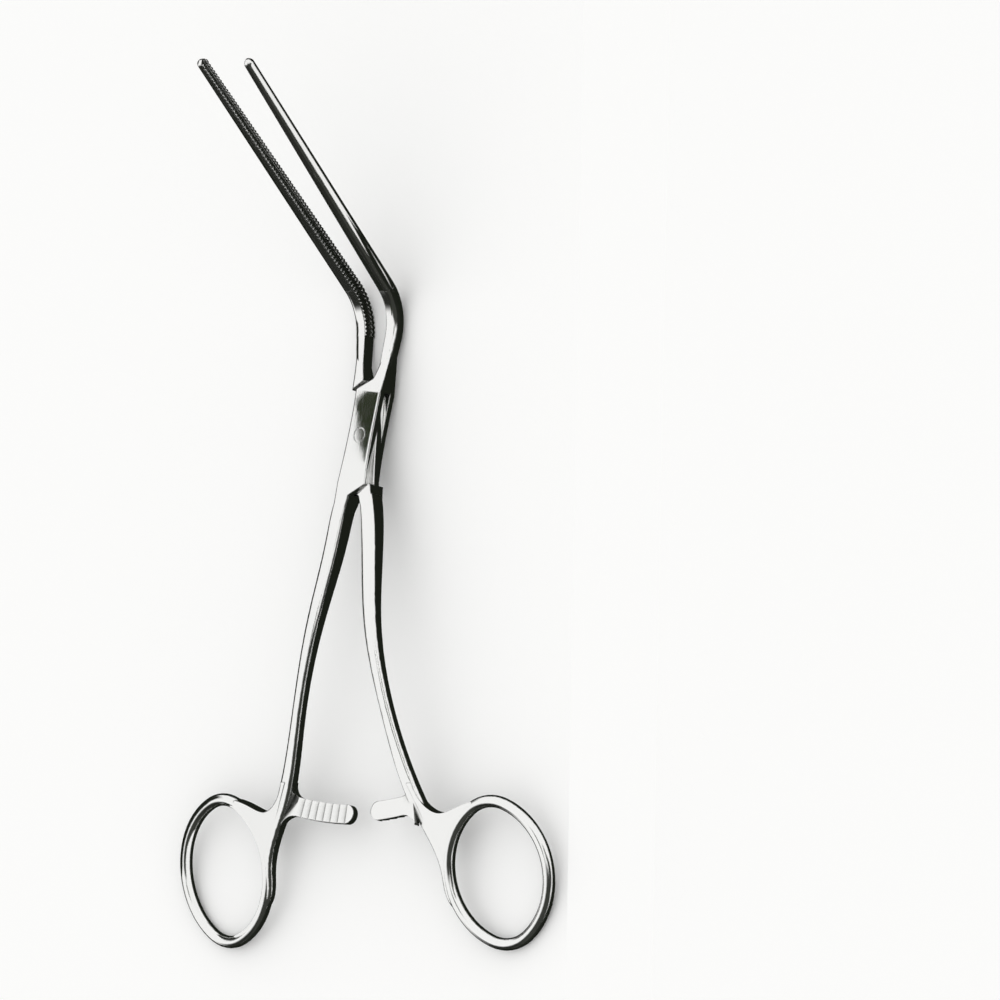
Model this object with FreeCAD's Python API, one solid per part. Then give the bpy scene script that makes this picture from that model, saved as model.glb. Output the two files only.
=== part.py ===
import FreeCAD, Part
import math
import os

# Vascular clamp with a box lock and long jaws that turn up out of the plane of the handles.
#
# Everything is first modelled with the clamp shut, in the frame of the box lock: the pivot pin
# stands on the origin along Z, the jaws point along +Y and the handles along -Y. Each half is
# then swung open about the pin by rest_half_angle, the whole is tipped until it lies on the
# heels of its jaws and the ends of its finger rings, and it is moved so that the middle of the
# underside of its bounding box is the origin. Lengths are in millimetres, angles in degrees.

V = FreeCAD.Vector
X_AXIS = V(1, 0, 0)
Z_AXIS = V(0, 0, 1)
PIN_FOOT = V(0, 0, 0)

# Opening of the clamp as it lies, for each half
rest_half_angle = 4.8

# How far a cutting solid reaches past what it cuts
tool_overrun = 1.0

# Box lock, seen along the pin
box_waist = 3.6             # half width at the pin
box_jaw_width = 3.75        # half width at the end toward the jaws
box_shank_width = 4.15      # half width at the end toward the shanks
box_jaw_edge = 10.2         # where the slanted end toward the jaws meets the side of the box
box_shank_edge = 11.1       # where the slanted end toward the shanks meets the side
box_jaw_slant = 34.0        # slant of the end toward the jaws
box_shank_slant = 32.0      # slant of the end toward the shanks
box_thickness = 5.4
crotch_gap = 0.2            # half the gap between the halves where they part, clamp shut
box_edge_round = 0.45
box_rim_run = 4.0           # only edges that run further than this along the box are rounded
shank_crotch_bulge = 0.6    # how far the inner side of a half bows out beside the shank crotch
jaw_crotch_bulge = 0.75     # the same beside the jaw crotch
neck_sink = 0.25            # how far the ends of the box are sunk in the shank and the jaw
inner_shoulder_inset = 0.5  # how much narrower the shoulders of the inner half are

# Slot, tang and pin
tang_thickness = 1.8
tang_clearance = 0.06       # above and below the tang
shoulder_clearance = 0.15   # left at each shoulder when the clamp is shut
pin_radius = 1.6
pin_running_clearance = 0.04
pin_seat_clearance = 0.01

# Jaws: side profile, a flat run, a bend and a straight toothed run
jaw_rise_angle = 55.0
jaw_bend_radius = 13.0
jaw_bend_apex = 30.2        # where the two straight runs of the profile would meet
jaw_straight_length = 71.6
jaw_root_y = 12.8
jaw_neck_y = 19.0
heel_face_gap = 1.15        # from the middle plane to the bare face at the heel, clamp shut
tip_face_gap = 0.3          # the same at the tips
heel_face_width = 3.2
tip_face_width = 2.35
root_depth = 2.5            # from the bare face to the round back, where the jaw leaves the box
heel_depth = 3.3            # the same at the heel
tip_depth = 1.75
flank_inset = 0.02          # keeps the flanks of the straight run just inside its round back

# Teeth of the jaws: two rows with a groove between, and one row on the other jaw
tooth_height = 0.4
tooth_pitch = 1.0
tooth_groove_depth = 0.3
tooth_groove_width = 0.72
groove_width = 1.05
single_row_width = 0.75
row_margin = 0.1            # bare rim of the face outside the rows
row_sink = 0.3              # how far the rows reach into the jaw

# Shanks: stations along the centre line, as x, y, width, thickness and corner radius
shank_root = (2.25, 14.0, 3.5, 4.3, 0.5)
shank_neck = (3.05, 19.5, 3.9, 4.2, 0.6)
shank_upper = (3.95, 33.0, 3.8, 3.9, 0.95)
shank_middle = (5.7, 49.0, 3.2, 3.2, 0.95)
shank_lower = (8.4, 65.5, 2.9, 2.8, 0.9)
shank_foot = (11.6, 79.5, 3.6, 2.9, 0.9)

# Handles: drop below the plane of the box
handle_drop_angle = 17.8
handle_drop_apex = 52.9
handle_drop_radius = 80.0

# Finger rings: ovals of four arcs, bent from round bar, whose outer sides hang a little lower
ring_centre_x = 32.7
ring_centre_y = 100.9
ring_opening_width = 24.6
ring_opening_length = 30.0
ring_end_share = 0.72       # end radius as a share of half the width
ring_splay = 1.7
ring_roll = 4.5
ring_roll_x = 14.5          # distance of the roll's axis from the middle plane
ring_limb = 2.85
limb_join_angle = 158.0     # where the shank's middle comes up beside the limb
limb_join_offset = 2.3
limb_join_thickness = 2.75  # of the shank there
limb_merge_offset = 0.575   # how far the shank's middle still is beside the limb, halfway in
limb_merge_share = 0.85     # size of the shank there, as a share of the limb's
limb_end_angle = 204.0      # where the shank has run out inside the limb
limb_end_share = 0.7
shank_end_corner = 0.9      # corner radius of the shank from where it joins the limb

# Webs between the shanks and the rings
web_thickness = 2.65
web_notch = (18.8, 86.5)
web_flank_share = 0.36      # where the edge leaves the shank, as a share of the shank's width
web_start = (1.2, 6.0)      # direction in which the edge leaves it
web_crown_angle = 104.0     # where the edge runs out on the ring
web_crown_share = 0.85      # how far out on the limb that is
web_crown_step = 20.0       # turn round the ring over which the edge's last direction is taken
web_root_angles = (130.0, 156.0, 180.0)

# Ratchet bars
bar_setback = 16.5          # from the middle of the bars to the middle of the rings
bar_height = 4.4            # across the bar, along the handle
bar_thickness = 1.7
bar_clearance = 0.08        # from the shared face to the crests of each bar
bar_flare = 3.0             # radius of the bar's rounded root
bar_flare_hollow = 0.3      # how far that curve is hollowed, as a share of the radius
outer_bar_reach = 21.4      # from the middle of the shank to the tip, along the arc
inner_bar_reach = 13.6
ratchet_pitch = 2.2
ratchet_depth = 0.6
ratchet_flank_share = 0.85  # part of the pitch that the slanted side of a tooth takes
ratchet_teeth_outer = 7
ratchet_teeth_inner = 4


def tan_deg(angle):
    return math.tan(math.radians(angle))


def cos_deg(angle):
    return math.cos(math.radians(angle))


def sin_deg(angle):
    return math.sin(math.radians(angle))


def prism(points, direction):
    """Solid of a closed outline of straight sides, pushed along direction."""
    outline = Part.makePolygon(points + [points[0]])
    return Part.Face(outline).extrude(direction)


def fused(shapes):
    body = shapes[0].fuse(shapes[1:])
    return body.removeSplitter()


# Side profile of the jaws

jaw_bend_tangent = jaw_bend_radius * tan_deg(jaw_rise_angle / 2)
jaw_bend_start = jaw_bend_apex - jaw_bend_tangent
jaw_bend_centre = V(0, jaw_bend_start, jaw_bend_radius)
jaw_bend_end = jaw_bend_centre + V(0, sin_deg(jaw_rise_angle), -cos_deg(jaw_rise_angle)) * jaw_bend_radius
jaw_direction = V(0, cos_deg(jaw_rise_angle), sin_deg(jaw_rise_angle))
jaw_normal = V(0, -sin_deg(jaw_rise_angle), cos_deg(jaw_rise_angle))
jaw_tip_centre = jaw_bend_end + jaw_direction * jaw_straight_length


def jaw_section(centre, across, face_x, width, depth):
    """Section of a jaw: a flat face toward the other jaw, straight flanks and a half-round back."""
    low = across * (-width / 2)
    high = across * (width / 2)
    face = V(face_x - centre.x, 0, 0)
    side = V(face.x + depth - width / 2, 0, 0)
    crown = V(face.x + depth, 0, 0)
    return Part.Wire([
        Part.makeLine(centre + face + low, centre + face + high),
        Part.makeLine(centre + face + high, centre + side + high),
        Part.Arc(centre + side + high, centre + crown, centre + side + low).toShape(),
        Part.makeLine(centre + side + low, centre + face + low),
    ])


def jaw_body():
    """One bare jaw on the +X side, from inside the box to its rounded tip."""
    root = jaw_section(V(0, jaw_root_y, 0), Z_AXIS, heel_face_gap, heel_face_width, root_depth)
    heel = jaw_section(V(0, jaw_bend_start, 0), Z_AXIS, heel_face_gap, heel_face_width, heel_depth)
    neck_run = Part.makeLoft([root, heel], True, True)
    bend = Part.Face(heel).revolve(jaw_bend_centre, X_AXIS, jaw_rise_angle)
    return fused([neck_run, bend, straight_flanks().cut(tip_trim()), straight_back()])


def straight_flanks():
    """Tapered bar behind the toothed face, as deep as the middle of the round back."""
    wires = []
    for centre, face_x, width, depth in (
        (jaw_bend_end, heel_face_gap, heel_face_width, heel_depth),
        (jaw_tip_centre, tip_face_gap, tip_face_width, tip_depth),
    ):
        half = jaw_normal * (width / 2 - flank_inset)
        face = V(face_x, 0, 0)
        back = V(face_x + depth - width / 2, 0, 0)
        corners = [face - half, back - half, back + half, face + half]
        points = [centre + corner for corner in corners]
        wires.append(Part.makePolygon(points + [points[0]]))
    return Part.makeLoft(wires, True, True)


def straight_back():
    """Tapered round back of the straight run, with its rounded end."""
    heel_radius = heel_face_width / 2
    tip_radius = tip_face_width / 2
    start = jaw_bend_end + V(heel_face_gap + heel_depth - heel_radius, 0, 0)
    end = jaw_tip_centre + V(tip_face_gap + tip_depth - tip_radius, 0, 0) - jaw_direction * tip_radius
    run = end - start
    cone = Part.makeCone(heel_radius, tip_radius, run.Length, start, run)
    back = cone.fuse(Part.makeSphere(tip_radius, end))
    return back.cut(face_trim())


def face_trim():
    """Waste in front of a plane that lies row_sink behind the face of the straight run."""
    near = jaw_bend_end + V(heel_face_gap + row_sink, 0, 0)
    far = jaw_tip_centre + V(tip_face_gap + row_sink, 0, 0)
    overrun = (far - near).normalize() * tool_overrun
    ahead = V(-2 * heel_depth, 0, 0)
    edge = jaw_normal * -heel_face_width
    points = [near - overrun, far + overrun, far + overrun + ahead, near - overrun + ahead]
    return prism([point + edge for point in points], edge * -2)


def tip_trim():
    """Waste around the rounded tip of the flanks, seen square to the toothed face."""
    radius = tip_face_width / 2 - flank_inset
    nose = jaw_tip_centre - jaw_direction * (tip_face_width / 2) + V(-2 * heel_depth, 0, 0)
    tip = nose + jaw_direction * radius
    side = jaw_normal * radius
    margin = 3                  # the waste reaches this many radii past the tip
    far = side * margin
    ahead = jaw_direction * (radius * margin)
    edges = [
        Part.Arc(nose - side, tip, nose + side).toShape(),
        Part.makeLine(nose + side, nose + far),
        Part.makeLine(nose + far, nose + far + ahead),
        Part.makeLine(nose + far + ahead, nose - far + ahead),
        Part.makeLine(nose - far + ahead, nose - far),
        Part.makeLine(nose - far, nose - side),
    ]
    return Part.Face(Part.Wire(edges)).extrude(V(5 * heel_depth, 0, 0))


def straight_row(heel_low, heel_high, tip_low, tip_high):
    """Raised strip on the straight run of the face, between two edges given from the middle."""
    end = jaw_tip_centre - jaw_direction * (tip_face_width / 3)
    wires = []
    for centre, face_x, low, high in (
        (jaw_bend_end, heel_face_gap, heel_low, heel_high),
        (end, tip_face_gap, tip_low, tip_high),
    ):
        corner = centre + jaw_normal * low
        far_corner = centre + jaw_normal * high
        points = [
            V(face_x + row_sink, corner.y, corner.z),
            V(face_x + row_sink, far_corner.y, far_corner.z),
            V(face_x - tooth_height, far_corner.y, far_corner.z),
            V(face_x - tooth_height, corner.y, corner.z),
        ]
        wires.append(Part.makePolygon(points + [points[0]]))
    return Part.makeLoft(wires, True, True)


def bend_row(low, high):
    """Raised strip round the bend of the face, between two distances from its middle line."""
    height = tooth_height + row_sink
    start = V(heel_face_gap - tooth_height, 0, 0) + jaw_bend_centre
    big = 3 * jaw_bend_radius
    below = start - V(tool_overrun, 0, 0)
    sector = prism(
        [
            below,
            below + V(0, 0, -big),
            below + V(0, big, -big),
            below + V(0, sin_deg(jaw_rise_angle), -cos_deg(jaw_rise_angle)) * big,
        ],
        V(height + 2 * tool_overrun, 0, 0),
    )
    whole = Part.makeCylinder(jaw_bend_radius - low, height, start, X_AXIS)
    whole = whole.cut(Part.makeCylinder(jaw_bend_radius - high, height, start, X_AXIS))
    return whole.common(sector)


def tooth_cutters():
    """V cuts across the rows: a comb along the straight run and spokes round the bend."""
    half = tooth_groove_width / 2
    slope = math.degrees(math.atan2(heel_face_gap - tip_face_gap, jaw_straight_length))
    crest = heel_face_gap - tooth_height
    reach = heel_face_width
    cutters = []
    count = int((jaw_straight_length - tooth_pitch) / tooth_pitch)
    outline = [V(-tool_overrun, 0, 0)]
    for index in range(count):
        middle = tooth_pitch * (index + 0.5)
        outline.append(V(0, middle - half, 0))
        outline.append(V(tooth_groove_depth, middle, 0))
        outline.append(V(0, middle + half, 0))
    outline.append(V(-tool_overrun, tooth_pitch * count, 0))
    comb = prism(outline, V(0, 0, reach))
    comb.translate(V(0, 0, -reach / 2))
    comb.rotate(PIN_FOOT, Z_AXIS, slope)
    comb.rotate(PIN_FOOT, X_AXIS, jaw_rise_angle)
    comb.translate(jaw_bend_end + V(crest, 0, 0))
    cutters.append(comb)

    bend_length = math.radians(jaw_rise_angle) * jaw_bend_radius
    bend_count = int(bend_length / tooth_pitch)
    for index in range(bend_count):
        turn = jaw_rise_angle * (index + 0.5) / bend_count
        spoke = [V(-tool_overrun, -half, 0), V(-tool_overrun, half, 0), V(0, half, 0),
                 V(tooth_groove_depth, 0, 0), V(0, -half, 0)]
        tooth = prism(spoke, V(0, 0, reach))
        tooth.translate(V(crest, 0, -jaw_bend_radius - reach / 2))
        tooth.rotate(PIN_FOOT, X_AXIS, turn)
        tooth.translate(jaw_bend_centre)
        cutters.append(tooth)
    return cutters


def tooth_rows(row_edges):
    """Rows of teeth of the +X jaw, between the given distances from its middle line."""
    rows = []
    for heel_low, heel_high, tip_low, tip_high in row_edges:
        row = straight_row(heel_low, heel_high, tip_low, tip_high)
        row = row.fuse(bend_row(heel_low, heel_high))
        rows.append(row)
    teeth = rows[0].fuse(rows[1:]) if len(rows) > 1 else rows[0]
    return teeth.cut(tooth_cutters())


# Side profile of the shanks and handles

handle_tangent = handle_drop_radius * tan_deg(handle_drop_angle / 2)
handle_bend_start = handle_drop_apex - handle_tangent
handle_bend_end = handle_drop_apex + handle_tangent * cos_deg(handle_drop_angle)


def handle_level(reach):
    """Height and slope of the centre line of a handle at a distance from the pin."""
    if reach <= handle_bend_start:
        return 0.0, 0.0
    if reach < handle_bend_end:
        run = reach - handle_bend_start
        slope = math.degrees(math.asin(run / handle_drop_radius))
        return -handle_drop_radius * (1 - cos_deg(slope)), slope
    return -(reach - handle_drop_apex) * tan_deg(handle_drop_angle), handle_drop_angle


def rounded_section(centre, side, up, width, thickness, corner):
    """Rounded rectangle about centre, in the plane of two unit directions."""
    inner_w = width / 2 - corner
    inner_t = thickness / 2 - corner
    diagonal = corner * math.sqrt(0.5)
    edges = []
    for turn in range(4):
        along, across = ((side, up), (up, side * -1), (side * -1, up * -1), (up * -1, side))[turn]
        a_size, b_size = ((inner_w, inner_t), (inner_t, inner_w))[turn % 2]
        knee = centre + along * a_size + across * b_size
        start = knee + along * corner
        middle = knee + along * diagonal + across * diagonal
        end = knee + across * corner
        before = centre + along * (a_size + corner) - across * b_size
        edges.append(Part.makeLine(before, start))
        edges.append(Part.Arc(start, middle, end).toShape())
    return Part.Wire(edges)


ring_level, ring_slope = handle_level(ring_centre_y)
handle_along = V(0, cos_deg(ring_slope), sin_deg(ring_slope))
handle_normal = V(0, -sin_deg(ring_slope), cos_deg(ring_slope))
ring_across = X_AXIS * cos_deg(ring_roll) - handle_normal * sin_deg(ring_roll)
ring_normal = handle_normal * cos_deg(ring_roll) + X_AXIS * sin_deg(ring_roll)
ring_centre = V(ring_roll_x, -ring_centre_y, ring_level) + ring_across * (
    (ring_centre_x - ring_roll_x) / cos_deg(ring_roll))


def ring_place(across, along):
    """Point of the ring's plane, measured from its centre along its own leaning axes."""
    lean_across = ring_across * cos_deg(ring_splay) + handle_along * sin_deg(ring_splay)
    lean_along = handle_along * cos_deg(ring_splay) - ring_across * sin_deg(ring_splay)
    return ring_centre + lean_across * across + lean_along * along


def ring_point(angle, grow):
    """Point of the ring's plane on an ellipse that lies grow outside the opening."""
    return ring_place(
        (ring_opening_width / 2 + grow) * cos_deg(angle),
        (ring_opening_length / 2 + grow) * sin_deg(angle),
    )


def web_point(x, reach):
    """Point of the ring's plane with that distance from the middle plane and from the pin."""
    across = (x - ring_centre.x) / cos_deg(ring_roll)
    step = ring_across * across
    along = (-reach - ring_centre.y - step.y) / handle_along.y
    return ring_centre + step + handle_along * along


def finger_ring():
    """Finger ring on the +X side: round bar bent to an oval of two end arcs and two side arcs."""
    grow = ring_limb / 2
    half_width = ring_opening_width / 2 + grow
    half_length = ring_opening_length / 2 + grow
    end_radius = ring_end_share * half_width
    rise = half_length - end_radius
    side_radius = (rise * rise + half_width * half_width - end_radius * end_radius) / (
        2 * (half_width - end_radius))
    side_offset = side_radius - half_width
    half_turn = math.degrees(math.atan2(rise, side_offset))
    join_across = end_radius * cos_deg(half_turn)
    join_along = rise + end_radius * sin_deg(half_turn)
    pieces = []
    for end in (1, -1):
        bend_centre = ring_place(0, end * rise)
        start = ring_place(end * join_across, end * join_along)
        pieces.append(bent_bar(start, bend_centre, 180 - 2 * half_turn))
    for side in (1, -1):
        bend_centre = ring_place(-side * side_offset, 0)
        start = ring_place(side * join_across, -side * join_along)
        pieces.append(bent_bar(start, bend_centre, 2 * half_turn))
    return fused(pieces)


def bent_bar(start, bend_centre, turn):
    """Round bar of the ring that starts at a point and turns about a centre in the ring's plane."""
    tangent = ring_normal.cross(start - bend_centre)
    disc = Part.Face(Part.Wire([Part.makeCircle(ring_limb / 2, start, tangent)]))
    return disc.revolve(bend_centre, ring_normal, turn)


def shank_body():
    """One shank on the +X side, from inside the box until it runs out inside the finger ring."""
    stations = [shank_root, shank_neck, shank_upper, shank_middle, shank_lower, shank_foot]
    centres = [V(station[0], -station[1], handle_level(station[1])[0]) for station in stations]
    sizes = [station[2:] for station in stations]
    middle_of_limb = ring_limb / 2
    merge_angle = (limb_join_angle + limb_end_angle) / 2
    merge_size = ring_limb * limb_merge_share
    end_size = ring_limb * limb_end_share
    centres.append(ring_point(limb_join_angle, middle_of_limb + limb_join_offset))
    sizes.append((ring_limb, limb_join_thickness, shank_end_corner))
    centres.append(ring_point(merge_angle, middle_of_limb + limb_merge_offset))
    sizes.append((merge_size, merge_size, shank_end_corner))
    centres.append(ring_point(limb_end_angle, middle_of_limb))
    sizes.append((end_size, end_size, shank_end_corner))
    sections = []
    loft_degree = 3
    for index, (width, thickness, corner) in enumerate(sizes):
        before = centres[max(index - 1, 0)]
        after = centres[min(index + 1, len(centres) - 1)]
        tangent = (after - before).normalize()
        upright = ring_normal if index >= len(stations) else Z_AXIS
        side = tangent.cross(upright).normalize()
        up = side.cross(tangent).normalize()
        sections.append(rounded_section(centres[index], side, up, width, thickness, corner))
    return Part.makeLoft(sections, True, False, False, loft_degree)


def shank_middle_x(reach):
    """Distance of the shank's centre line from the middle plane, near the foot."""
    join = ring_point(limb_join_angle, ring_limb / 2 + limb_join_offset)
    points = [shank_lower[:2], shank_foot[:2], (join.x, -join.y)]
    if reach > points[1][1]:
        points = points[1:]
    (near_x, near_reach), (far_x, far_reach) = points[:2]
    return near_x + (far_x - near_x) * (reach - near_reach) / (far_reach - near_reach)


def ring_web():
    """Flat web that fills the corner between the shank and the finger ring."""
    foot_x, foot_reach, foot_width = shank_foot[:3]
    flank = web_point(foot_x + foot_width * web_flank_share, foot_reach)
    notch = web_point(*web_notch)
    crown = ring_point(web_crown_angle, ring_limb * web_crown_share)
    inside = [ring_point(angle, ring_limb / 2) for angle in (web_crown_angle,) + web_root_angles]
    join = ring_point(limb_join_angle, ring_limb / 2 + limb_join_offset)
    heart = web_point(foot_x, foot_reach)
    swoop = Part.BSplineCurve()
    swoop.interpolate(
        Points=[flank, notch, crown],
        InitialTangent=web_point(foot_x + web_start[0], foot_reach + web_start[1]) - heart,
        FinalTangent=ring_point(web_crown_angle - web_crown_step, ring_limb)
        - ring_point(web_crown_angle, ring_limb),
    )
    corners = [crown] + inside + [join, heart, flank]
    edges = [swoop.toShape()]
    edges += [Part.makeLine(corners[index], corners[index + 1]) for index in range(len(corners) - 1)]
    web = Part.Face(Part.Wire(edges)).extrude(ring_normal * web_thickness)
    web.translate(ring_normal * (-web_thickness / 2))
    return web


bar_radius = math.hypot(ring_centre_y - bar_setback, shank_foot[0])


def arc_turn(length):
    """Turn about the pin that a length along the middle of the bars takes."""
    return math.degrees(length / bar_radius)


def on_arc(radius, turn):
    return V(radius * sin_deg(turn), -radius * cos_deg(turn), 0)


def ratchet_bar(reach, teeth, faces_up):
    """Ratchet bar of the +X handle: a flat arc about the pin with saw teeth on one face."""
    level = handle_level(bar_radius)[0]
    inner = bar_radius - bar_height / 2
    outer = bar_radius + bar_height / 2
    root_turn = math.degrees(math.atan2(shank_middle_x(bar_radius), bar_radius))
    flare_turn = root_turn - arc_turn(shank_foot[2] / 2 + bar_flare)
    side_turn = root_turn - arc_turn(shank_foot[2] / 4)
    tip_turn = root_turn - arc_turn(reach - bar_height / 2)
    nose_turn = tip_turn - arc_turn(bar_height / 2)
    middle_turn = (flare_turn + tip_turn) / 2
    knee_turn = flare_turn + (1 - bar_flare_hollow) * (side_turn - flare_turn)
    knee = bar_flare_hollow * bar_flare
    edges = [
        Part.Arc(on_arc(outer, flare_turn), on_arc(outer, middle_turn), on_arc(outer, tip_turn)).toShape(),
        Part.Arc(on_arc(outer, tip_turn), on_arc(bar_radius, nose_turn), on_arc(inner, tip_turn)).toShape(),
        Part.Arc(on_arc(inner, tip_turn), on_arc(inner, middle_turn), on_arc(inner, flare_turn)).toShape(),
        Part.Arc(on_arc(inner, flare_turn), on_arc(inner - knee, knee_turn),
                 on_arc(inner - bar_flare, side_turn)).toShape(),
        Part.makeLine(on_arc(inner - bar_flare, side_turn), on_arc(outer + bar_flare, side_turn)),
        Part.Arc(on_arc(outer + bar_flare, side_turn), on_arc(outer + knee, knee_turn),
                 on_arc(outer, flare_turn)).toShape(),
    ]
    bar = Part.Face(Part.Wire(edges)).extrude(V(0, 0, -bar_thickness))
    bar.translate(V(0, 0, -bar_clearance))
    flank = ratchet_pitch * ratchet_flank_share
    notch_width = bar_height + 2 * tool_overrun
    cutters = []
    for index in range(teeth):
        turn = nose_turn + arc_turn(bar_height / 2 + ratchet_pitch * index)
        notch = prism(
            [V(0, 0, tool_overrun), V(0, 0, -ratchet_depth), V(flank, 0, 0), V(flank, 0, tool_overrun)],
            V(0, notch_width, 0),
        )
        notch.translate(V(0, -bar_radius - notch_width / 2, -bar_clearance))
        notch.rotate(PIN_FOOT, Z_AXIS, turn)
        cutters.append(notch)
    bar = bar.cut(cutters)
    if not faces_up:
        bar = bar.mirror(PIN_FOOT, Z_AXIS)
    bar.translate(V(0, 0, level))
    return bar


# Box lock

jaw_slope = tan_deg(box_jaw_slant)
shank_slope = tan_deg(box_shank_slant)
jaw_crotch_y = box_jaw_edge + (box_jaw_width + crotch_gap) * jaw_slope
shank_crotch_y = box_shank_edge + (box_shank_width + crotch_gap) * shank_slope


def box_outline(inset):
    """Outline of a half at the box, from the jaw on +X to the shank on -X."""
    neck_x, neck_y, neck_width = shank_neck[:3]
    neck_outer = neck_x + neck_width / 2 - neck_sink
    neck_inner = neck_x - neck_width / 2 + neck_sink
    jaw_outer = heel_face_gap + root_depth
    jaw_inner = heel_face_gap + neck_sink
    left_side = Part.BSplineCurve()
    left_side.interpolate([
        V(-box_jaw_width, box_jaw_edge, 0),
        V(-box_waist, 0, 0),
        V(inset - box_shank_width, -box_shank_edge, 0),
        V(-neck_outer, -neck_y, 0),
    ])
    right_side = Part.BSplineCurve()
    right_side.interpolate([
        V(box_shank_width, -box_shank_edge, 0),
        V(box_waist, 0, 0),
        V(box_jaw_width - inset, box_jaw_edge, 0),
        V(jaw_outer, jaw_neck_y, 0),
    ])
    edges = [
        left_side.toShape(),
        Part.makeLine(V(-neck_outer, -neck_y, 0), V(-neck_inner, -neck_y, 0)),
        Part.Arc(
            V(-neck_inner, -neck_y, 0),
            V(-crotch_gap - shank_crotch_bulge, -(neck_y + shank_crotch_y) / 2, 0),
            V(-crotch_gap, -shank_crotch_y, 0),
        ).toShape(),
        Part.makeLine(V(-crotch_gap, -shank_crotch_y, 0), V(box_shank_width, -box_shank_edge, 0)),
        right_side.toShape(),
        Part.makeLine(V(jaw_outer, jaw_neck_y, 0), V(jaw_inner, jaw_neck_y, 0)),
        Part.Arc(
            V(jaw_inner, jaw_neck_y, 0),
            V(crotch_gap + jaw_crotch_bulge, (jaw_neck_y + jaw_crotch_y) / 2, 0),
            V(crotch_gap, jaw_crotch_y, 0),
        ).toShape(),
        Part.makeLine(V(crotch_gap, jaw_crotch_y, 0), V(-box_jaw_width, box_jaw_edge, 0)),
    ]
    return Part.Wire(edges)


def box_side_profile():
    """Side view of the box, tapered from its full thickness to the neck and the jaws."""
    neck_y = shank_neck[1]
    neck_half = shank_neck[3] / 2 - neck_sink
    heel_half = heel_face_width / 2 - neck_sink
    half = box_thickness / 2
    side = 3 * box_shank_width
    return prism(
        [
            V(-side, -neck_y, -neck_half), V(-side, -box_shank_edge, -half), V(-side, box_jaw_edge, -half),
            V(-side, jaw_neck_y, -heel_half), V(-side, jaw_neck_y, heel_half), V(-side, box_jaw_edge, half),
            V(-side, -box_shank_edge, half), V(-side, -neck_y, neck_half),
        ],
        V(2 * side, 0, 0),
    )


def slot_outline(half_height):
    """Straight slot through the box, with slanted ends that clear the tang."""
    side = 2 * box_shank_width
    jaw_wall = jaw_crotch_y + shoulder_clearance
    shank_wall = shank_crotch_y + shoulder_clearance
    return [
        V(side, jaw_wall - (side + crotch_gap) * jaw_slope, -half_height),
        V(-crotch_gap, jaw_wall, -half_height),
        V(-side, jaw_wall, -half_height),
        V(-side, -shank_wall + (side + crotch_gap) * shank_slope, -half_height),
        V(crotch_gap, -shank_wall, -half_height),
        V(side, -shank_wall, -half_height),
    ]


def box_blank(inset):
    height = box_thickness + 2 * tool_overrun
    blank = Part.Face(box_outline(inset)).extrude(V(0, 0, height))
    blank.translate(V(0, 0, -height / 2))
    blank = blank.common(box_side_profile())
    rims = []
    for edge in blank.Edges:
        box = edge.BoundBox
        on_top = box.ZMin > heel_face_width / 4
        below = box.ZMax < -heel_face_width / 4
        if (on_top or below) and box.YLength > box_rim_run:
            rims.append(edge)
    return blank.makeFillet(box_edge_round, rims)


def mirrored(shape):
    return shape.mirror(PIN_FOOT, X_AXIS)


def outer_half_shut():
    slot_half = tang_thickness / 2 + tang_clearance
    slot = prism(slot_outline(slot_half), V(0, 0, 2 * slot_half))
    box = box_blank(0)
    handle = [mirrored(shank_body()), mirrored(finger_ring()), mirrored(ring_web()),
              mirrored(ratchet_bar(outer_bar_reach, ratchet_teeth_outer, True))]
    middle_row = single_row_width / 2
    body = fused([box, jaw_body()] + handle)
    body = body.cut([slot, pin_hole(pin_seat_clearance)])
    return fused([body, tooth_rows([(-middle_row, middle_row, -middle_row, middle_row)])])


def inner_half_shut():
    tang_half = tang_thickness / 2
    cheek = box_thickness
    outline = [V(-p.x, p.y, p.z) for p in slot_outline(0)]
    upper = prism(outline, V(0, 0, cheek))
    upper.translate(V(0, 0, tang_half))
    lower = prism(outline, V(0, 0, -cheek))
    lower.translate(V(0, 0, -tang_half))
    box = mirrored(box_blank(inner_shoulder_inset))
    bar = ratchet_bar(inner_bar_reach, ratchet_teeth_inner, False)
    handle = [shank_body(), finger_ring(), ring_web(), bar]
    groove = groove_width / 2
    tip = tip_face_width / 2 - row_margin
    heel = heel_face_width / 2 - row_margin
    body = fused([box, mirrored(jaw_body())] + handle)
    body = body.cut([upper, lower, pin_hole(pin_running_clearance)])
    rows = tooth_rows([(groove, heel, groove, tip), (-heel, -groove, -tip, -groove)])
    return fused([body, mirrored(rows)])


def pin_hole(clearance):
    return Part.makeCylinder(pin_radius + clearance, box_thickness * 2, V(0, 0, -box_thickness), Z_AXIS)


def pivot_pin():
    """Rivet whose ends are ground flush with the box."""
    return Part.makeCylinder(pin_radius, box_thickness, V(0, 0, -box_thickness / 2), Z_AXIS)


# Resting attitude: the line that touches the heels from below and the ends of the rings

def rest_tip_angle():
    ring_end = ring_point(-90, ring_limb / 2)
    swung = FreeCAD.Rotation(Z_AXIS, rest_half_angle).multVec(ring_end)
    heel_radius = jaw_bend_radius + heel_face_width / 2
    ring_radius = ring_limb / 2
    run = jaw_bend_centre.y - swung.y
    rise = jaw_bend_centre.z - swung.z
    span = math.hypot(run, rise)
    lean = math.degrees(math.atan2(rise, run))
    return -(lean - math.degrees(math.asin((heel_radius - ring_radius) / span)))


outer_half = outer_half_shut()
outer_half.rotate(PIN_FOOT, Z_AXIS, -rest_half_angle)
inner_half = inner_half_shut()
inner_half.rotate(PIN_FOOT, Z_AXIS, rest_half_angle)
pin = pivot_pin()

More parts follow.
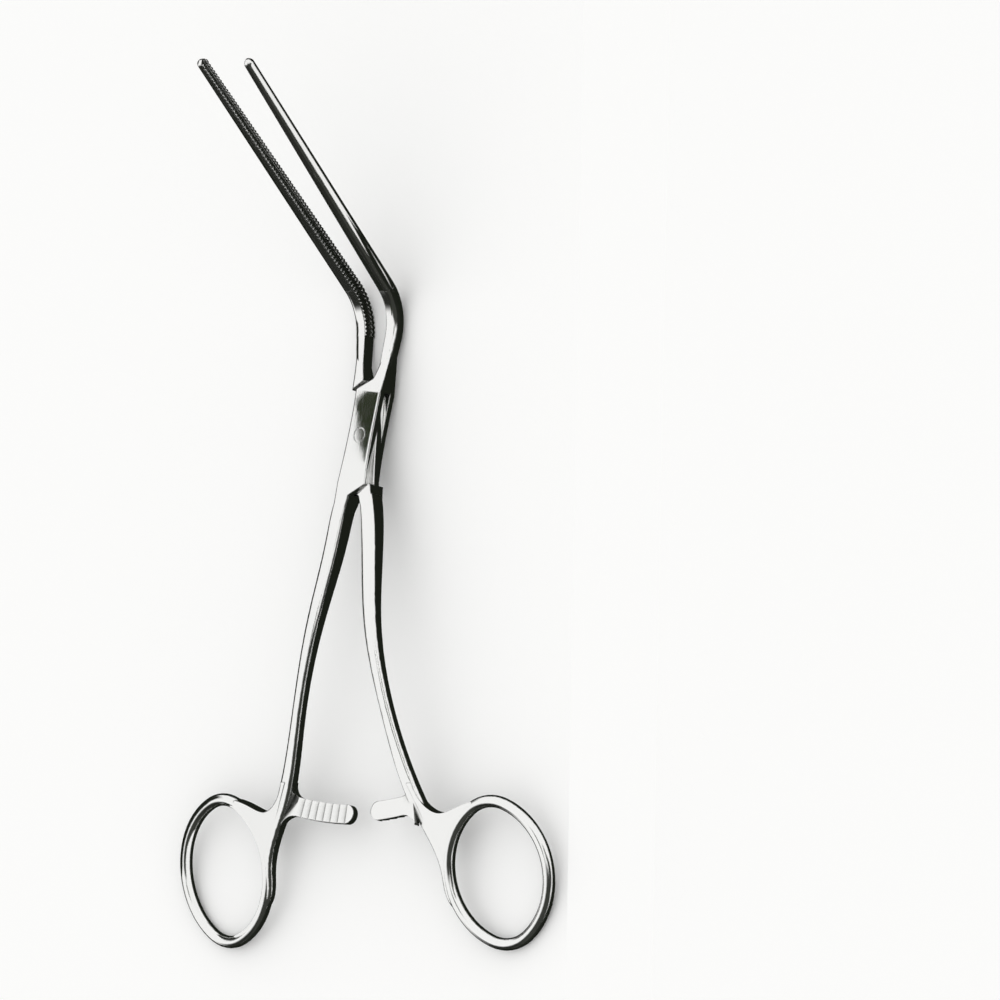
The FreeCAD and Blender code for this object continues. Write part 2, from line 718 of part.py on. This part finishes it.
nodes = {"outer_half": outer_half, "inner_half": inner_half, "pivot_pin": pin}
tip = rest_tip_angle()
for shape in nodes.values():
    shape.rotate(PIN_FOOT, X_AXIS, tip)
whole = Part.makeCompound(list(nodes.values())).optimalBoundingBox()
shift = V(-(whole.XMin + whole.XMax) / 2, -(whole.YMin + whole.YMax) / 2, -whole.ZMin)
for shape in nodes.values():
    shape.translate(shift)

os.makedirs("parts", exist_ok=True)
for name, shape in nodes.items():
    shape.exportStep(os.path.join("parts", name + ".step"))
    print(name, "solids", len(shape.Solids), "valid", shape.isValid(), "volume", round(shape.Volume, 1))
print("tip angle", round(tip, 3), "pivot at", shift)
print("size", whole.XLength, whole.YLength, whole.ZLength)
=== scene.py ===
# %% [markdown]
# A vascular clamp, dressed for its photograph
#
# The clamp is three pieces of polished stainless steel: an outer half with the box and its slot, an inner half
# whose thin tang passes through that slot, and the rivet that they turn on. Their shapes come packed from the
# CAD model, which this lesson loads as a fixed frame. What is left for Blender is what makes steel look like
# steel: the hand polish, the worn edges, the dark corners that a polishing wheel can't reach, and a studio for
# the metal to mirror.

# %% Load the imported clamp
import math

import bmesh
import bpy
from mathutils import Matrix, Vector


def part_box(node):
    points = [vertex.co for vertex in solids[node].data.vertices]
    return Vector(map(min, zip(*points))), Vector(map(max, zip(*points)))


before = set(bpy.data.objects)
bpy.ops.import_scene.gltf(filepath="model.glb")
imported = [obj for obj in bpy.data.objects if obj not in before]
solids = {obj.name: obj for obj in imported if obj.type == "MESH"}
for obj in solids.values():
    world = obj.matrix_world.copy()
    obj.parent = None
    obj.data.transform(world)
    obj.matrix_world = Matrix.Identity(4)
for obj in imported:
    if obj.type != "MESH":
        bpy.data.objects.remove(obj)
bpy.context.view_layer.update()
print("solids:", sorted(solids))

# %% [markdown]
# The camera
#
# The picture is a catalogue view taken a long way off and turned 41 degrees about the clamp's long axis, which
# is why both jaws and both rings seem to lean the same way. A camera could be placed by eye, but then its place
# would be guesswork. The rivet is the one point that a designer can find in both worlds, so the frame hangs on
# it: it lies at a known pixel of the photograph, and the rings fix how many pixels make a metre. A long lens
# keeps the two rings the same size, as they are in the picture.

# %% Place the camera
view_turn = math.radians(41)
view_tip = math.radians(1.64)
camera_distance = 10.0
clip_near = 1
clip_far = 100
sensor_width = 36
picture_width = 1000
pixels_per_metre = 4400
pivot_pixel = (367, 437)

pin_low, pin_high = (Vector(corner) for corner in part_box("pivot_pin"))
pivot = (pin_low + pin_high) / 2

turned = Matrix.Rotation(view_tip, 3, "X") @ Matrix.Rotation(view_turn, 3, "Y")
right, up, back = turned.col
across = (picture_width / 2 - pivot_pixel[0]) / pixels_per_metre
down = (picture_width / 2 - pivot_pixel[1]) / pixels_per_metre
aim = pivot + right * across - up * down

lens = bpy.data.cameras.new("catalogue_view")
lens.sensor_width = sensor_width
lens.lens = sensor_width * camera_distance * pixels_per_metre / picture_width
lens.clip_start = clip_near
lens.clip_end = clip_far
camera = bpy.data.objects.new("catalogue_view", lens)
camera.matrix_world = Matrix.Translation(aim + back * camera_distance) @ turned.to_4x4()
bpy.context.scene.collection.objects.link(camera)
bpy.context.scene.camera = camera
print("lens, in mm:", round(lens.lens))

# %% [markdown]
# Building node trees in code
#
# A material is a tree of nodes, and in the editor each one is placed, set and wired by hand. In code the same
# three moves come back hundreds of times, so they get a short helper each: one adds a node and sets its
# options, one fills its sockets by name, and one draws the wires. The colour mix has a helper of its own,
# because its node has three sets of sockets and only the ones for colours are wanted.

# %% Helpers for node trees
column_width = 220
row_height = 180


def add_node(tree, kind, place, **settings):
    """A node of that kind in the tree, at a place in columns and rows, with its settings."""
    node = tree.nodes.new(kind)
    node.location = (place[0] * column_width, -place[1] * row_height)
    for name, value in settings.items():
        setattr(node, name, value)
    return node


def fill(node, **values):
    """Sets sockets of a node by name, with spaces written as underscores."""
    for name, value in values.items():
        node.inputs[name.replace("_", " ")].default_value = value
    return node


def join(tree, *links):
    """Links pairs of sockets, each given as output then input."""
    for source, target in links:
        tree.links.new(source, target)


def colour_mix(tree, place):
    """A colour mix, given as its factor, its two colours and its result."""
    node = add_node(tree, "ShaderNodeMix", place, data_type="RGBA")
    first, second = [socket for socket in node.inputs if socket.type == "RGBA"]
    result = [socket for socket in node.outputs if socket.type == "RGBA"][0]
    return node.inputs[0], first, second, result


# %% [markdown]
# The floor sheet
#
# The clamp lies on a white sheet that reaches past the frame on every side and takes a soft shadow. To the
# right the sheet dips a few millimetres, because the hinge leans and the right ring sinks as it swings wide
# open. A grid gives the sheet, two cuts across it give the edges of the dip, and the far side is moved down.

# %% Lay the floor sheet
floor_half_width = 6.0
dip_start = 0.058
dip_end = 0.076
dip_depth = 0.009

floor_mesh = bpy.data.meshes.new("floor_sheet")
floor = bpy.data.objects.new("floor_sheet", floor_mesh)
bpy.context.scene.collection.objects.link(floor)
sheet = bmesh.new()
bmesh.ops.create_grid(sheet, x_segments=1, y_segments=1, size=floor_half_width)
for edge in (dip_start, dip_end):
    whole = sheet.verts[:] + sheet.edges[:] + sheet.faces[:]
    bmesh.ops.bisect_plane(sheet, geom=whole, plane_co=(edge, 0, 0), plane_no=(1, 0, 0))
lowered = [corner for corner in sheet.verts if corner.co.x > (dip_start + dip_end) / 2]
bmesh.ops.translate(sheet, verts=lowered, vec=(0, 0, -dip_depth))
sheet.to_mesh(floor_mesh)
sheet.free()
print("floor sheet:", len(floor_mesh.polygons), "faces,", dip_depth * 1000, "mm of dip")

# %% [markdown]
# What the floor shows
#
# In the picture the flanks of the steel, which mirror whatever lies just beside them, are nearly black, while
# the page round the clamp is white. One plain paint can't do both. So the sheet asks what kind of ray has come:
# the eye sees a white sheet, and the metal sees a dark table, with white paper beyond one of its corners, where
# the jaws rise high enough to look out over the edge. Two edges through the corner bound that paper, and the
# distance past each one gives how far its white has faded in.

# %% Paint the floor
paper_white = (0.97, 0.97, 0.965, 1)
table_dark = (0.012, 0.014, 0.010, 1)
paper_corner = (0.015, 0.053, 0)
paper_edges = [(1, -0.905, 0), (1.783, 1, 0)]
paper_fade = 0.004

floor_paint = bpy.data.materials.new("floor_paper")
floor_paint.use_nodes = True
floor_mesh.materials.append(floor_paint)
tree = floor_paint.node_tree
tree.nodes.clear()
spot = add_node(tree, "ShaderNodeTexCoord", (0, 1))
reach = add_node(tree, "ShaderNodeVectorMath", (1, 1), operation="SUBTRACT")
reach.inputs[1].default_value = paper_corner
join(tree, (spot.outputs["Object"], reach.inputs[0]))
sides = []
for index, edge in enumerate(paper_edges):
    past = add_node(tree, "ShaderNodeVectorMath", (2, 1 + index), operation="DOT_PRODUCT")
    past.inputs[1].default_value = edge
    side = fill(add_node(tree, "ShaderNodeMapRange", (3, 1 + index)), From_Min=0, From_Max=paper_fade)
    join(tree, (reach.outputs[0], past.inputs[0]), (past.outputs["Value"], side.inputs["Value"]))
    sides.append(side.outputs[0])
on_paper = add_node(tree, "ShaderNodeMath", (4, 1), operation="MULTIPLY")
share, dark_side, light_side, mirrored = colour_mix(tree, (5, 1))
dark_side.default_value = table_dark
light_side.default_value = paper_white
rays = add_node(tree, "ShaderNodeLightPath", (4, 0))
paper = fill(add_node(tree, "ShaderNodeBsdfDiffuse", (5, 0)), Color=paper_white)
table = add_node(tree, "ShaderNodeEmission", (5, 2))
seen = add_node(tree, "ShaderNodeMixShader", (6, 0))
out = add_node(tree, "ShaderNodeOutputMaterial", (7, 0))
join(
    tree,
    (sides[0], on_paper.inputs[0]),
    (sides[1], on_paper.inputs[1]),
    (on_paper.outputs[0], share),
    (mirrored, table.inputs["Color"]),
    (rays.outputs["Is Glossy Ray"], seen.inputs[0]),
    (paper.outputs[0], seen.inputs[1]),
    (table.outputs[0], seen.inputs[2]),
    (seen.outputs[0], out.inputs["Surface"]),
)
print("the metal sees the table end at, in mm:", [round(value * 1000) for value in paper_corner])

# %% [markdown]
# The studio around the clamp
#
# Polished steel has hardly a colour of its own. It shows the room, so the room is what is modelled. Lamps would
# give it a few bright dots and leave the rest dull, so the room is a white tent with a few dark openings. Each
# is given by the direction of its middle, its half width, the softness of its rim and how bright it is. Only
# mirror rays see them. All other rays see a plain white tent, which lights the paper evenly.

# %% Hang the tent
tent_white = (1.0, 1.0, 0.995, 1)
opening_tint = (1, 1.05, 0.9)
openings = [
    # azimuth, height, half width and softness in degrees, then brightness
    (-71, 32, 46, 6, 0.04),
    (-124, 17, 24, 8, 0.02),
    (-10, 22, 19, 4, 0.02),
    (166, 8, 24, 6, 0.03),
    (10, 41, 9, 3, 0.08),
    (0, 86, 7, 3, 0.12),
]

world = bpy.data.worlds.new("light_tent")
world.use_nodes = True
bpy.context.scene.world = world
tree = world.node_tree
tree.nodes.clear()
ray = add_node(tree, "ShaderNodeTexCoord", (0, 1))
room = None
for index, (azimuth, height, half_width, softness, level) in enumerate(openings):
    turn, lift = math.radians(azimuth), math.radians(height)
    middle = (math.cos(lift) * math.cos(turn), math.cos(lift) * math.sin(turn), math.sin(lift))
    facing = add_node(tree, "ShaderNodeVectorMath", (1, index), operation="DOT_PRODUCT")
    facing.inputs[1].default_value = middle
    rim = add_node(tree, "ShaderNodeMapRange", (2, index), interpolation_type="SMOOTHSTEP")
    outside, inside = (math.cos(math.radians(half_width + side)) for side in (softness, -softness))
    fill(rim, From_Min=outside, From_Max=inside)
    share, before, opening, after = colour_mix(tree, (3 + index, index))
    before.default_value = tent_white
    opening.default_value = [level * part for part in opening_tint] + [1]
    join(
        tree,
        (ray.outputs["Generated"], facing.inputs[0]),
        (facing.outputs["Value"], rim.inputs["Value"]),
        (rim.outputs[0], share),
    )
    if room:
        join(tree, (room, before))
    room = after

columns = 3 + len(openings)
rays = add_node(tree, "ShaderNodeLightPath", (columns, 1))
kind, plain, mirrored, seen = colour_mix(tree, (columns + 1, 0))
plain.default_value = tent_white
sky = add_node(tree, "ShaderNodeBackground", (columns + 2, 0))
out = add_node(tree, "ShaderNodeOutputWorld", (columns + 3, 0))
join(
    tree,
    (rays.outputs["Is Glossy Ray"], kind),
    (room, mirrored),
    (seen, sky.inputs["Color"]),
    (sky.outputs[0], out.inputs["Surface"]),
)
print("openings in the tent:", len(openings))

# %% [markdown]
# Cards beside the clamp
#
# A photographer of small bright things stands little cards around them, a white one to open up a limb and black
# ones to draw an edge. These do the same. An opening in the tent is far away and changes every limb at once,
# while a card close by changes only what it stands beside. Each is one flat face that only mirror rays see, so
# it never shows and casts no shadow.

# %% Stand the cards
low_card = 0.014
middle_card = 0.020
tall_card = 0.025


def add_card(name, corners, colour):
    """A flat card of that plain colour, seen by mirror rays alone."""
    mesh = bpy.data.meshes.new(name)
    form = bmesh.new()
    form.faces.new([form.verts.new(corner) for corner in corners])
    form.to_mesh(mesh)
    form.free()
    card = bpy.data.objects.new(name, mesh)
    bpy.context.scene.collection.objects.link(card)
    paint = bpy.data.materials.new(name)
    paint.use_nodes = True
    mesh.materials.append(paint)
    tree = paint.node_tree
    tree.nodes.clear()
    glow = fill(add_node(tree, "ShaderNodeEmission", (0, 0)), Color=colour)
    out = add_node(tree, "ShaderNodeOutputMaterial", (1, 0))
    join(tree, (glow.outputs[0], out.inputs["Surface"]))
    card.visible_camera = False
    card.visible_diffuse = False
    card.visible_shadow = False
    print(name, "has", len(mesh.vertices), "corners")


def stand_card(name, start, end, height, colour):
    """A card that stands on the floor between two points of it."""
    (x0, y0), (x1, y1) = start, end
    add_card(name, [(x0, y0, 0), (x1, y1, 0), (x1, y1, height), (x0, y0, height)], colour)


stand_card("white_card_left_ring", (-0.041, -0.097), (-0.041, -0.070), tall_card, paper_white)
stand_card("black_card_left_ring", (-0.066, -0.086), (-0.060, -0.058), middle_card, table_dark)
stand_card("black_card_neck", (0.022, 0.026), (0.022, 0.062), low_card, table_dark)

# %% [markdown]
# The dark wedge in the box's cheek
#
# The picture shows a dark wedge in the flat cheek of the box. A flat mirror shows things in their true outline,
# so the wedge is a small dark card that hangs over the box. Its corners are read in the picture, laid on the
# cheek, and sent out along the ray that a camera so far away sees mirrored there, which is the same ray for the
# whole cheek.

# %% Hang the card over the box
wedge_pixels = [(355, 399), (366, 390), (402, 386), (392, 430), (375, 462), (364, 462), (358, 440)]
wedge_dark = (0.022, 0.028, 0.014, 1)
wedge_distance = 0.025
cheek_normal = Vector((0, 0.15573, 0.98780))
cheek_height = 0.0027

cheek_middle = pivot + cheek_normal * cheek_height
mirror_ray = 2 * cheek_normal.dot(back) * cheek_normal - back


def on_cheek(pixel):
    """The point of the box's flat cheek at a pixel of the picture."""
    sideways = right * (pixel[0] - pivot_pixel[0]) / pixels_per_metre
    start = pivot + sideways - up * (pixel[1] - pivot_pixel[1]) / pixels_per_metre
    return start + back * (cheek_middle - start).dot(cheek_normal) / back.dot(cheek_normal)


wedge = [on_cheek(pixel) + mirror_ray * wedge_distance for pixel in wedge_pixels]
add_card("black_card_over_box", wedge, wedge_dark)

# %% [markdown]
# Hand polish
#
# A finisher draws the clamp over a felt wheel along its limbs. That leaves two marks on steel that looks
# flawless from afar: hair lines in the direction of the stroke, and a slow waviness where the wheel lingered.
# An image could carry both, but noise stretched along one axis gives the same lines at any size, so the group
# below makes them from noise. It puts out a height for the bump and a dullness for the roughness, and each
# steel sets how much of them it takes.

# %% Hand polish as a node group
hair_line_density = 2600
stroke_stretch = (1, 0.025, 1)
wave_scale = 420
cloud_scale = 130
result_column = 7


def open_group(name, inputs, outputs):
    """A shader node group with its input sockets and value outputs, and its two end nodes."""
    group = bpy.data.node_groups.new(name, "ShaderNodeTree")
    for label, kind, value in inputs:
        socket = group.interface.new_socket(label, in_out="INPUT", socket_type=kind)
        if value is not None:
            socket.default_value = value
    for label in outputs:
        group.interface.new_socket(label, in_out="OUTPUT", socket_type="NodeSocketFloat")
    print("node group:", name)
    start = add_node(group, "NodeGroupInput", (-1, 0))
    return group, start, add_node(group, "NodeGroupOutput", (result_column, 0))


place_input = ("Vector", "NodeSocketVector", None)
polish_inputs = [
    place_input,
    ("Line Density", "NodeSocketFloat", hair_line_density),
    ("Lines", "NodeSocketFloat", 0.3),
]
hand_polish, given, result = open_group("hand_polish", polish_inputs, ["Height", "Dullness"])
along = fill(add_node(hand_polish, "ShaderNodeMapping", (0, 0)), Scale=stroke_stretch)
hair_lines = fill(add_node(hand_polish, "ShaderNodeTexNoise", (1, 0)), Detail=3, Roughness=0.6)
waves = fill(add_node(hand_polish, "ShaderNodeTexNoise", (1, 2)), Scale=wave_scale, Detail=1)
clouds = fill(add_node(hand_polish, "ShaderNodeTexNoise", (1, 4)), Scale=cloud_scale, Detail=4)
weight = add_node(hand_polish, "ShaderNodeMath", (2, 0), operation="MULTIPLY")
height = add_node(hand_polish, "ShaderNodeMath", (3, 0), operation="ADD")
dullness = add_node(hand_polish, "ShaderNodeMath", (3, 3), operation="MULTIPLY")
join(
    hand_polish,
    (given.outputs["Vector"], along.inputs["Vector"]),
    (along.outputs[0], hair_lines.inputs["Vector"]),
    (given.outputs["Line Density"], hair_lines.inputs["Scale"]),
    (given.outputs["Vector"], waves.inputs["Vector"]),
    (given.outputs["Vector"], clouds.inputs["Vector"]),
    (hair_lines.outputs[0], weight.inputs[0]),
    (given.outputs["Lines"], weight.inputs[1]),
    (weight.outputs[0], height.inputs[0]),
    (waves.outputs[0], height.inputs[1]),
    (height.outputs[0], result.inputs["Height"]),
    (hair_lines.outputs[0], dullness.inputs[0]),
    (clouds.outputs[0], dullness.inputs[1]),
    (dullness.outputs[0], result.inputs["Dullness"]),
)

# %% [markdown]
# Worn edges
#
# Use rubs the sharp edges first, and they turn a little paler than the faces beside them. The edges could be
# painted by hand on the mesh, but the mesh comes from the CAD and may change. So they are found: an edge is
# where the rounded normal of a Bevel node leaves the face's own normal, and how far the two part is the mask.
# Noise breaks it up, because wear never ends in a clean line.

# %% Edge wear as a node group
edge_radius = 0.00035
still_flat = 0.995
full_edge = 0.85
wear_scale = 700
wear_patches = (0.35, 0.6)

wear_inputs = [place_input, ("Radius", "NodeSocketFloat", edge_radius)]
edge_wear, given, result = open_group("edge_wear", wear_inputs, ["Mask"])
rounded = add_node(edge_wear, "ShaderNodeBevel", (0, 0), samples=6)
face = add_node(edge_wear, "ShaderNodeNewGeometry", (0, 1))
parting = add_node(edge_wear, "ShaderNodeVectorMath", (1, 0), operation="DOT_PRODUCT")
sharp = fill(add_node(edge_wear, "ShaderNodeMapRange", (2, 0)), From_Min=still_flat, From_Max=full_edge)
patches = fill(add_node(edge_wear, "ShaderNodeTexNoise", (1, 2)), Scale=wear_scale, Detail=3)
worn = add_node(edge_wear, "ShaderNodeMapRange", (2, 2))
fill(worn, From_Min=wear_patches[0], From_Max=wear_patches[1])
rubbed = add_node(edge_wear, "ShaderNodeMath", (3, 0), operation="MULTIPLY")
join(
    edge_wear,
    (given.outputs["Radius"], rounded.inputs["Radius"]),
    (rounded.outputs[0], parting.inputs[0]),
    (face.outputs["Normal"], parting.inputs[1]),
    (parting.outputs["Value"], sharp.inputs["Value"]),
    (given.outputs["Vector"], patches.inputs["Vector"]),
    (patches.outputs[0], worn.inputs["Value"]),
    (sharp.outputs[0], rubbed.inputs[0]),
    (worn.outputs[0], rubbed.inputs[1]),
    (rubbed.outputs[0], result.inputs["Mask"]),
)

# %% [markdown]
# Dark recesses: grime and painted shade
#
# No wheel reaches the roots of the teeth or the seams of the box, and they stay grey from the last acid bath.
# The nearly black colour painted there is darker than that grey: it is also painted shade, where the steel
# shades itself. Ambient occlusion measures how closed in a point is, here by what stands within a millimetre
# and a half of it, so it finds the teeth and leaves the open limbs alone. Fine stains break up the mask.

# %% Recess grime and painted shade as a node group
# how far the recess mask reaches, which sets where the painted shade and grime fall
grime_and_shade_reach = 0.0016
open_share = 0.94
closed_share = 0.55
stain_scale = 1500
stain_patches = (0.2, 0.5)
least_stain = 0.6

grime_and_shade_inputs = [place_input, ("Reach", "NodeSocketFloat", grime_and_shade_reach)]
recess_grime_and_shade, given, result = open_group("recess_grime_and_shade", grime_and_shade_inputs, ["Mask"])
# ambient occlusion: the mask paints shade into the tooth roots and seams, on top of their grey
open_sky = add_node(recess_grime_and_shade, "ShaderNodeAmbientOcclusion", (0, 0), samples=8, only_local=True)
closed = add_node(recess_grime_and_shade, "ShaderNodeMapRange", (1, 0))
fill(closed, From_Min=open_share, From_Max=closed_share)
stains = fill(add_node(recess_grime_and_shade, "ShaderNodeTexNoise", (0, 2)), Scale=stain_scale, Detail=3)
blotch = add_node(recess_grime_and_shade, "ShaderNodeMapRange", (1, 2))
fill(blotch, From_Min=stain_patches[0], From_Max=stain_patches[1], To_Min=least_stain)
grime_and_shade = add_node(recess_grime_and_shade, "ShaderNodeMath", (2, 0), operation="MULTIPLY")
join(
    recess_grime_and_shade,
    (given.outputs["Reach"], open_sky.inputs["Distance"]),
    (open_sky.outputs["AO"], closed.inputs["Value"]),
    (given.outputs["Vector"], stains.inputs["Vector"]),
    (stains.outputs[0], blotch.inputs["Value"]),
    (closed.outputs[0], grime_and_shade.inputs[0]),
    (blotch.outputs[0], grime_and_shade.inputs[1]),
    (grime_and_shade.outputs[0], result.inputs["Mask"]),
)

# %% [markdown]
# The steels
#
# Both halves are the same steel, polished bright, so they share one material. The rivet was turned on a lathe
# before it was peened and ground flush, so it has its own, built by the same function. Metal takes its colour
# from Base Color alone. Its edges are rounded by a Bevel node, in the shading only, because the CAD mesh isn't
# changed and because a third of a millimetre is all that a polished edge has.

# %% Make the steels
steel_bright = (0.87, 0.87, 0.86, 1)
steel_rubbed = (0.93, 0.93, 0.92, 1)
# the recess colour, nearly black: the grey of unpolished steel and painted shade together
steel_grime_and_shade = (0.045, 0.05, 0.036, 1)
polish_depth = 0.000012
halves_lines, halves_gloss = 0.35, 0.07
rivet_lines, rivet_gloss = 0.1, 0.08
dull_patches = (0.15, 0.4)
dull_gain = 2
grime_roughness = 0.4


def place_group(tree, group, place, **values):
    """A node group in a tree, with its values."""
    return fill(add_node(tree, "ShaderNodeGroup", place, node_tree=group), **values)


def make_steel(name, lines, gloss):
    """Polished steel: hair lines and waves in the bump, worn edges, and grime with painted shade in the
    recesses.
    """
    metal = bpy.data.materials.new(name)
    metal.use_nodes = True
    tree = metal.node_tree
    shader = fill(tree.nodes["Principled BSDF"], Metallic=1)
    spot = add_node(tree, "ShaderNodeTexCoord", (-7, 1))
    polish = place_group(tree, hand_polish, (-6, 0), Lines=lines)
    wear = place_group(tree, edge_wear, (-6, 1), Radius=edge_radius)
    grime_and_shade = place_group(tree, recess_grime_and_shade, (-6, 2))
    worn, bright, rubbed, metal_colour = colour_mix(tree, (-4, 0))
    # the recess mask mixes in grime and painted shade
    dirty_and_shaded, clean, dark, colour = colour_mix(tree, (-3, 0))
    bright.default_value = steel_bright
    rubbed.default_value = steel_rubbed
    dark.default_value = steel_grime_and_shade
    base = fill(add_node(tree, "ShaderNodeMapRange", (-4, 1)), To_Min=gloss, To_Max=gloss * dull_gain)
    fill(base, From_Min=dull_patches[0], From_Max=dull_patches[1])
    rough = fill(add_node(tree, "ShaderNodeMapRange", (-4, 3)), To_Max=grime_roughness)
    total = add_node(tree, "ShaderNodeMath", (-3, 1), operation="ADD")
    rounded = fill(add_node(tree, "ShaderNodeBevel", (-3, 3), samples=6), Radius=edge_radius)
    relief = fill(add_node(tree, "ShaderNodeBump", (-2, 2)), Distance=polish_depth)
    for group in (polish, wear, grime_and_shade):
        join(tree, (spot.outputs["Object"], group.inputs["Vector"]))
    join(
        tree,
        (wear.outputs["Mask"], worn),
        (metal_colour, clean),
        (grime_and_shade.outputs["Mask"], dirty_and_shaded),
        (colour, shader.inputs["Base Color"]),
        (polish.outputs["Dullness"], base.inputs["Value"]),
        (grime_and_shade.outputs["Mask"], rough.inputs["Value"]),
        (base.outputs[0], total.inputs[0]),
        (rough.outputs[0], total.inputs[1]),
        (total.outputs[0], shader.inputs["Roughness"]),
        (polish.outputs["Height"], relief.inputs["Height"]),
        (rounded.outputs[0], relief.inputs["Normal"]),
        (relief.outputs[0], shader.inputs["Normal"]),
    )
    print(name, "has", len(tree.nodes), "nodes")
    return metal, spot, relief


polished_steel, _, _ = make_steel("polished_steel", halves_lines, halves_gloss)
rivet_steel, rivet_spot, rivet_relief = make_steel("rivet_steel", rivet_lines, rivet_gloss)

# %% [markdown]
# The rivet's rings
#
# The lathe leaves the faintest circles about the rivet's axis. A wave texture could draw them once it is moved
# and turned onto the rivet, but the distance from the axis says it more plainly. It is the length of the part
# of the position that lies across the axis, which a cross product with the axis gives, and its sine is a ring
# every quarter of a millimetre. The rings take the place of the hair lines in the rivet's bump.

# %% Turn the rivet's rings
ring_pitch = 0.00025
ring_depth = 0.0000003

tree = rivet_steel.node_tree
from_pivot = add_node(tree, "ShaderNodeVectorMath", (-6, 4), operation="SUBTRACT")
from_pivot.inputs[1].default_value = pivot
beside_axis = add_node(tree, "ShaderNodeVectorMath", (-5, 4), operation="CROSS_PRODUCT")
beside_axis.inputs[1].default_value = cheek_normal
radius = add_node(tree, "ShaderNodeVectorMath", (-4, 4), operation="LENGTH")
phase = add_node(tree, "ShaderNodeMath", (-3, 4), operation="MULTIPLY")
phase.inputs[1].default_value = math.tau / ring_pitch
rings = add_node(tree, "ShaderNodeMath", (-2, 4), operation="SINE")
join(
    tree,
    (rivet_spot.outputs["Object"], from_pivot.inputs[0]),
    (from_pivot.outputs[0], beside_axis.inputs[0]),
    (beside_axis.outputs[0], radius.inputs[0]),
    (radius.outputs["Value"], phase.inputs[0]),
    (phase.outputs[0], rings.inputs[0]),
    (rings.outputs[0], rivet_relief.inputs["Height"]),
)
fill(rivet_relief, Distance=ring_depth)
print("rings of the rivet, apart in mm:", ring_pitch * 1000)

# %% [markdown]
# Dressing the solids
#
# Each solid arrives with a plain material in its slot. The shapes are right as they are, so nothing is
# replaced: the slot is emptied and the finished steel goes in.

# %% Dress the three solids
finishes = {"outer_half": polished_steel, "inner_half": polished_steel, "pivot_pin": rivet_steel}
for name, solid in solids.items():
    solid.data.materials.clear()
    solid.data.materials.append(finishes[name])
    print(name, "is dressed in", finishes[name].name)

# %% [markdown]
# Colours as written
#
# The Standard view shows a colour as it is written, where the default one would soften the white of the paper
# and the black of the flanks.

# %% Set the view
bpy.context.scene.view_settings.view_transform = "Standard"
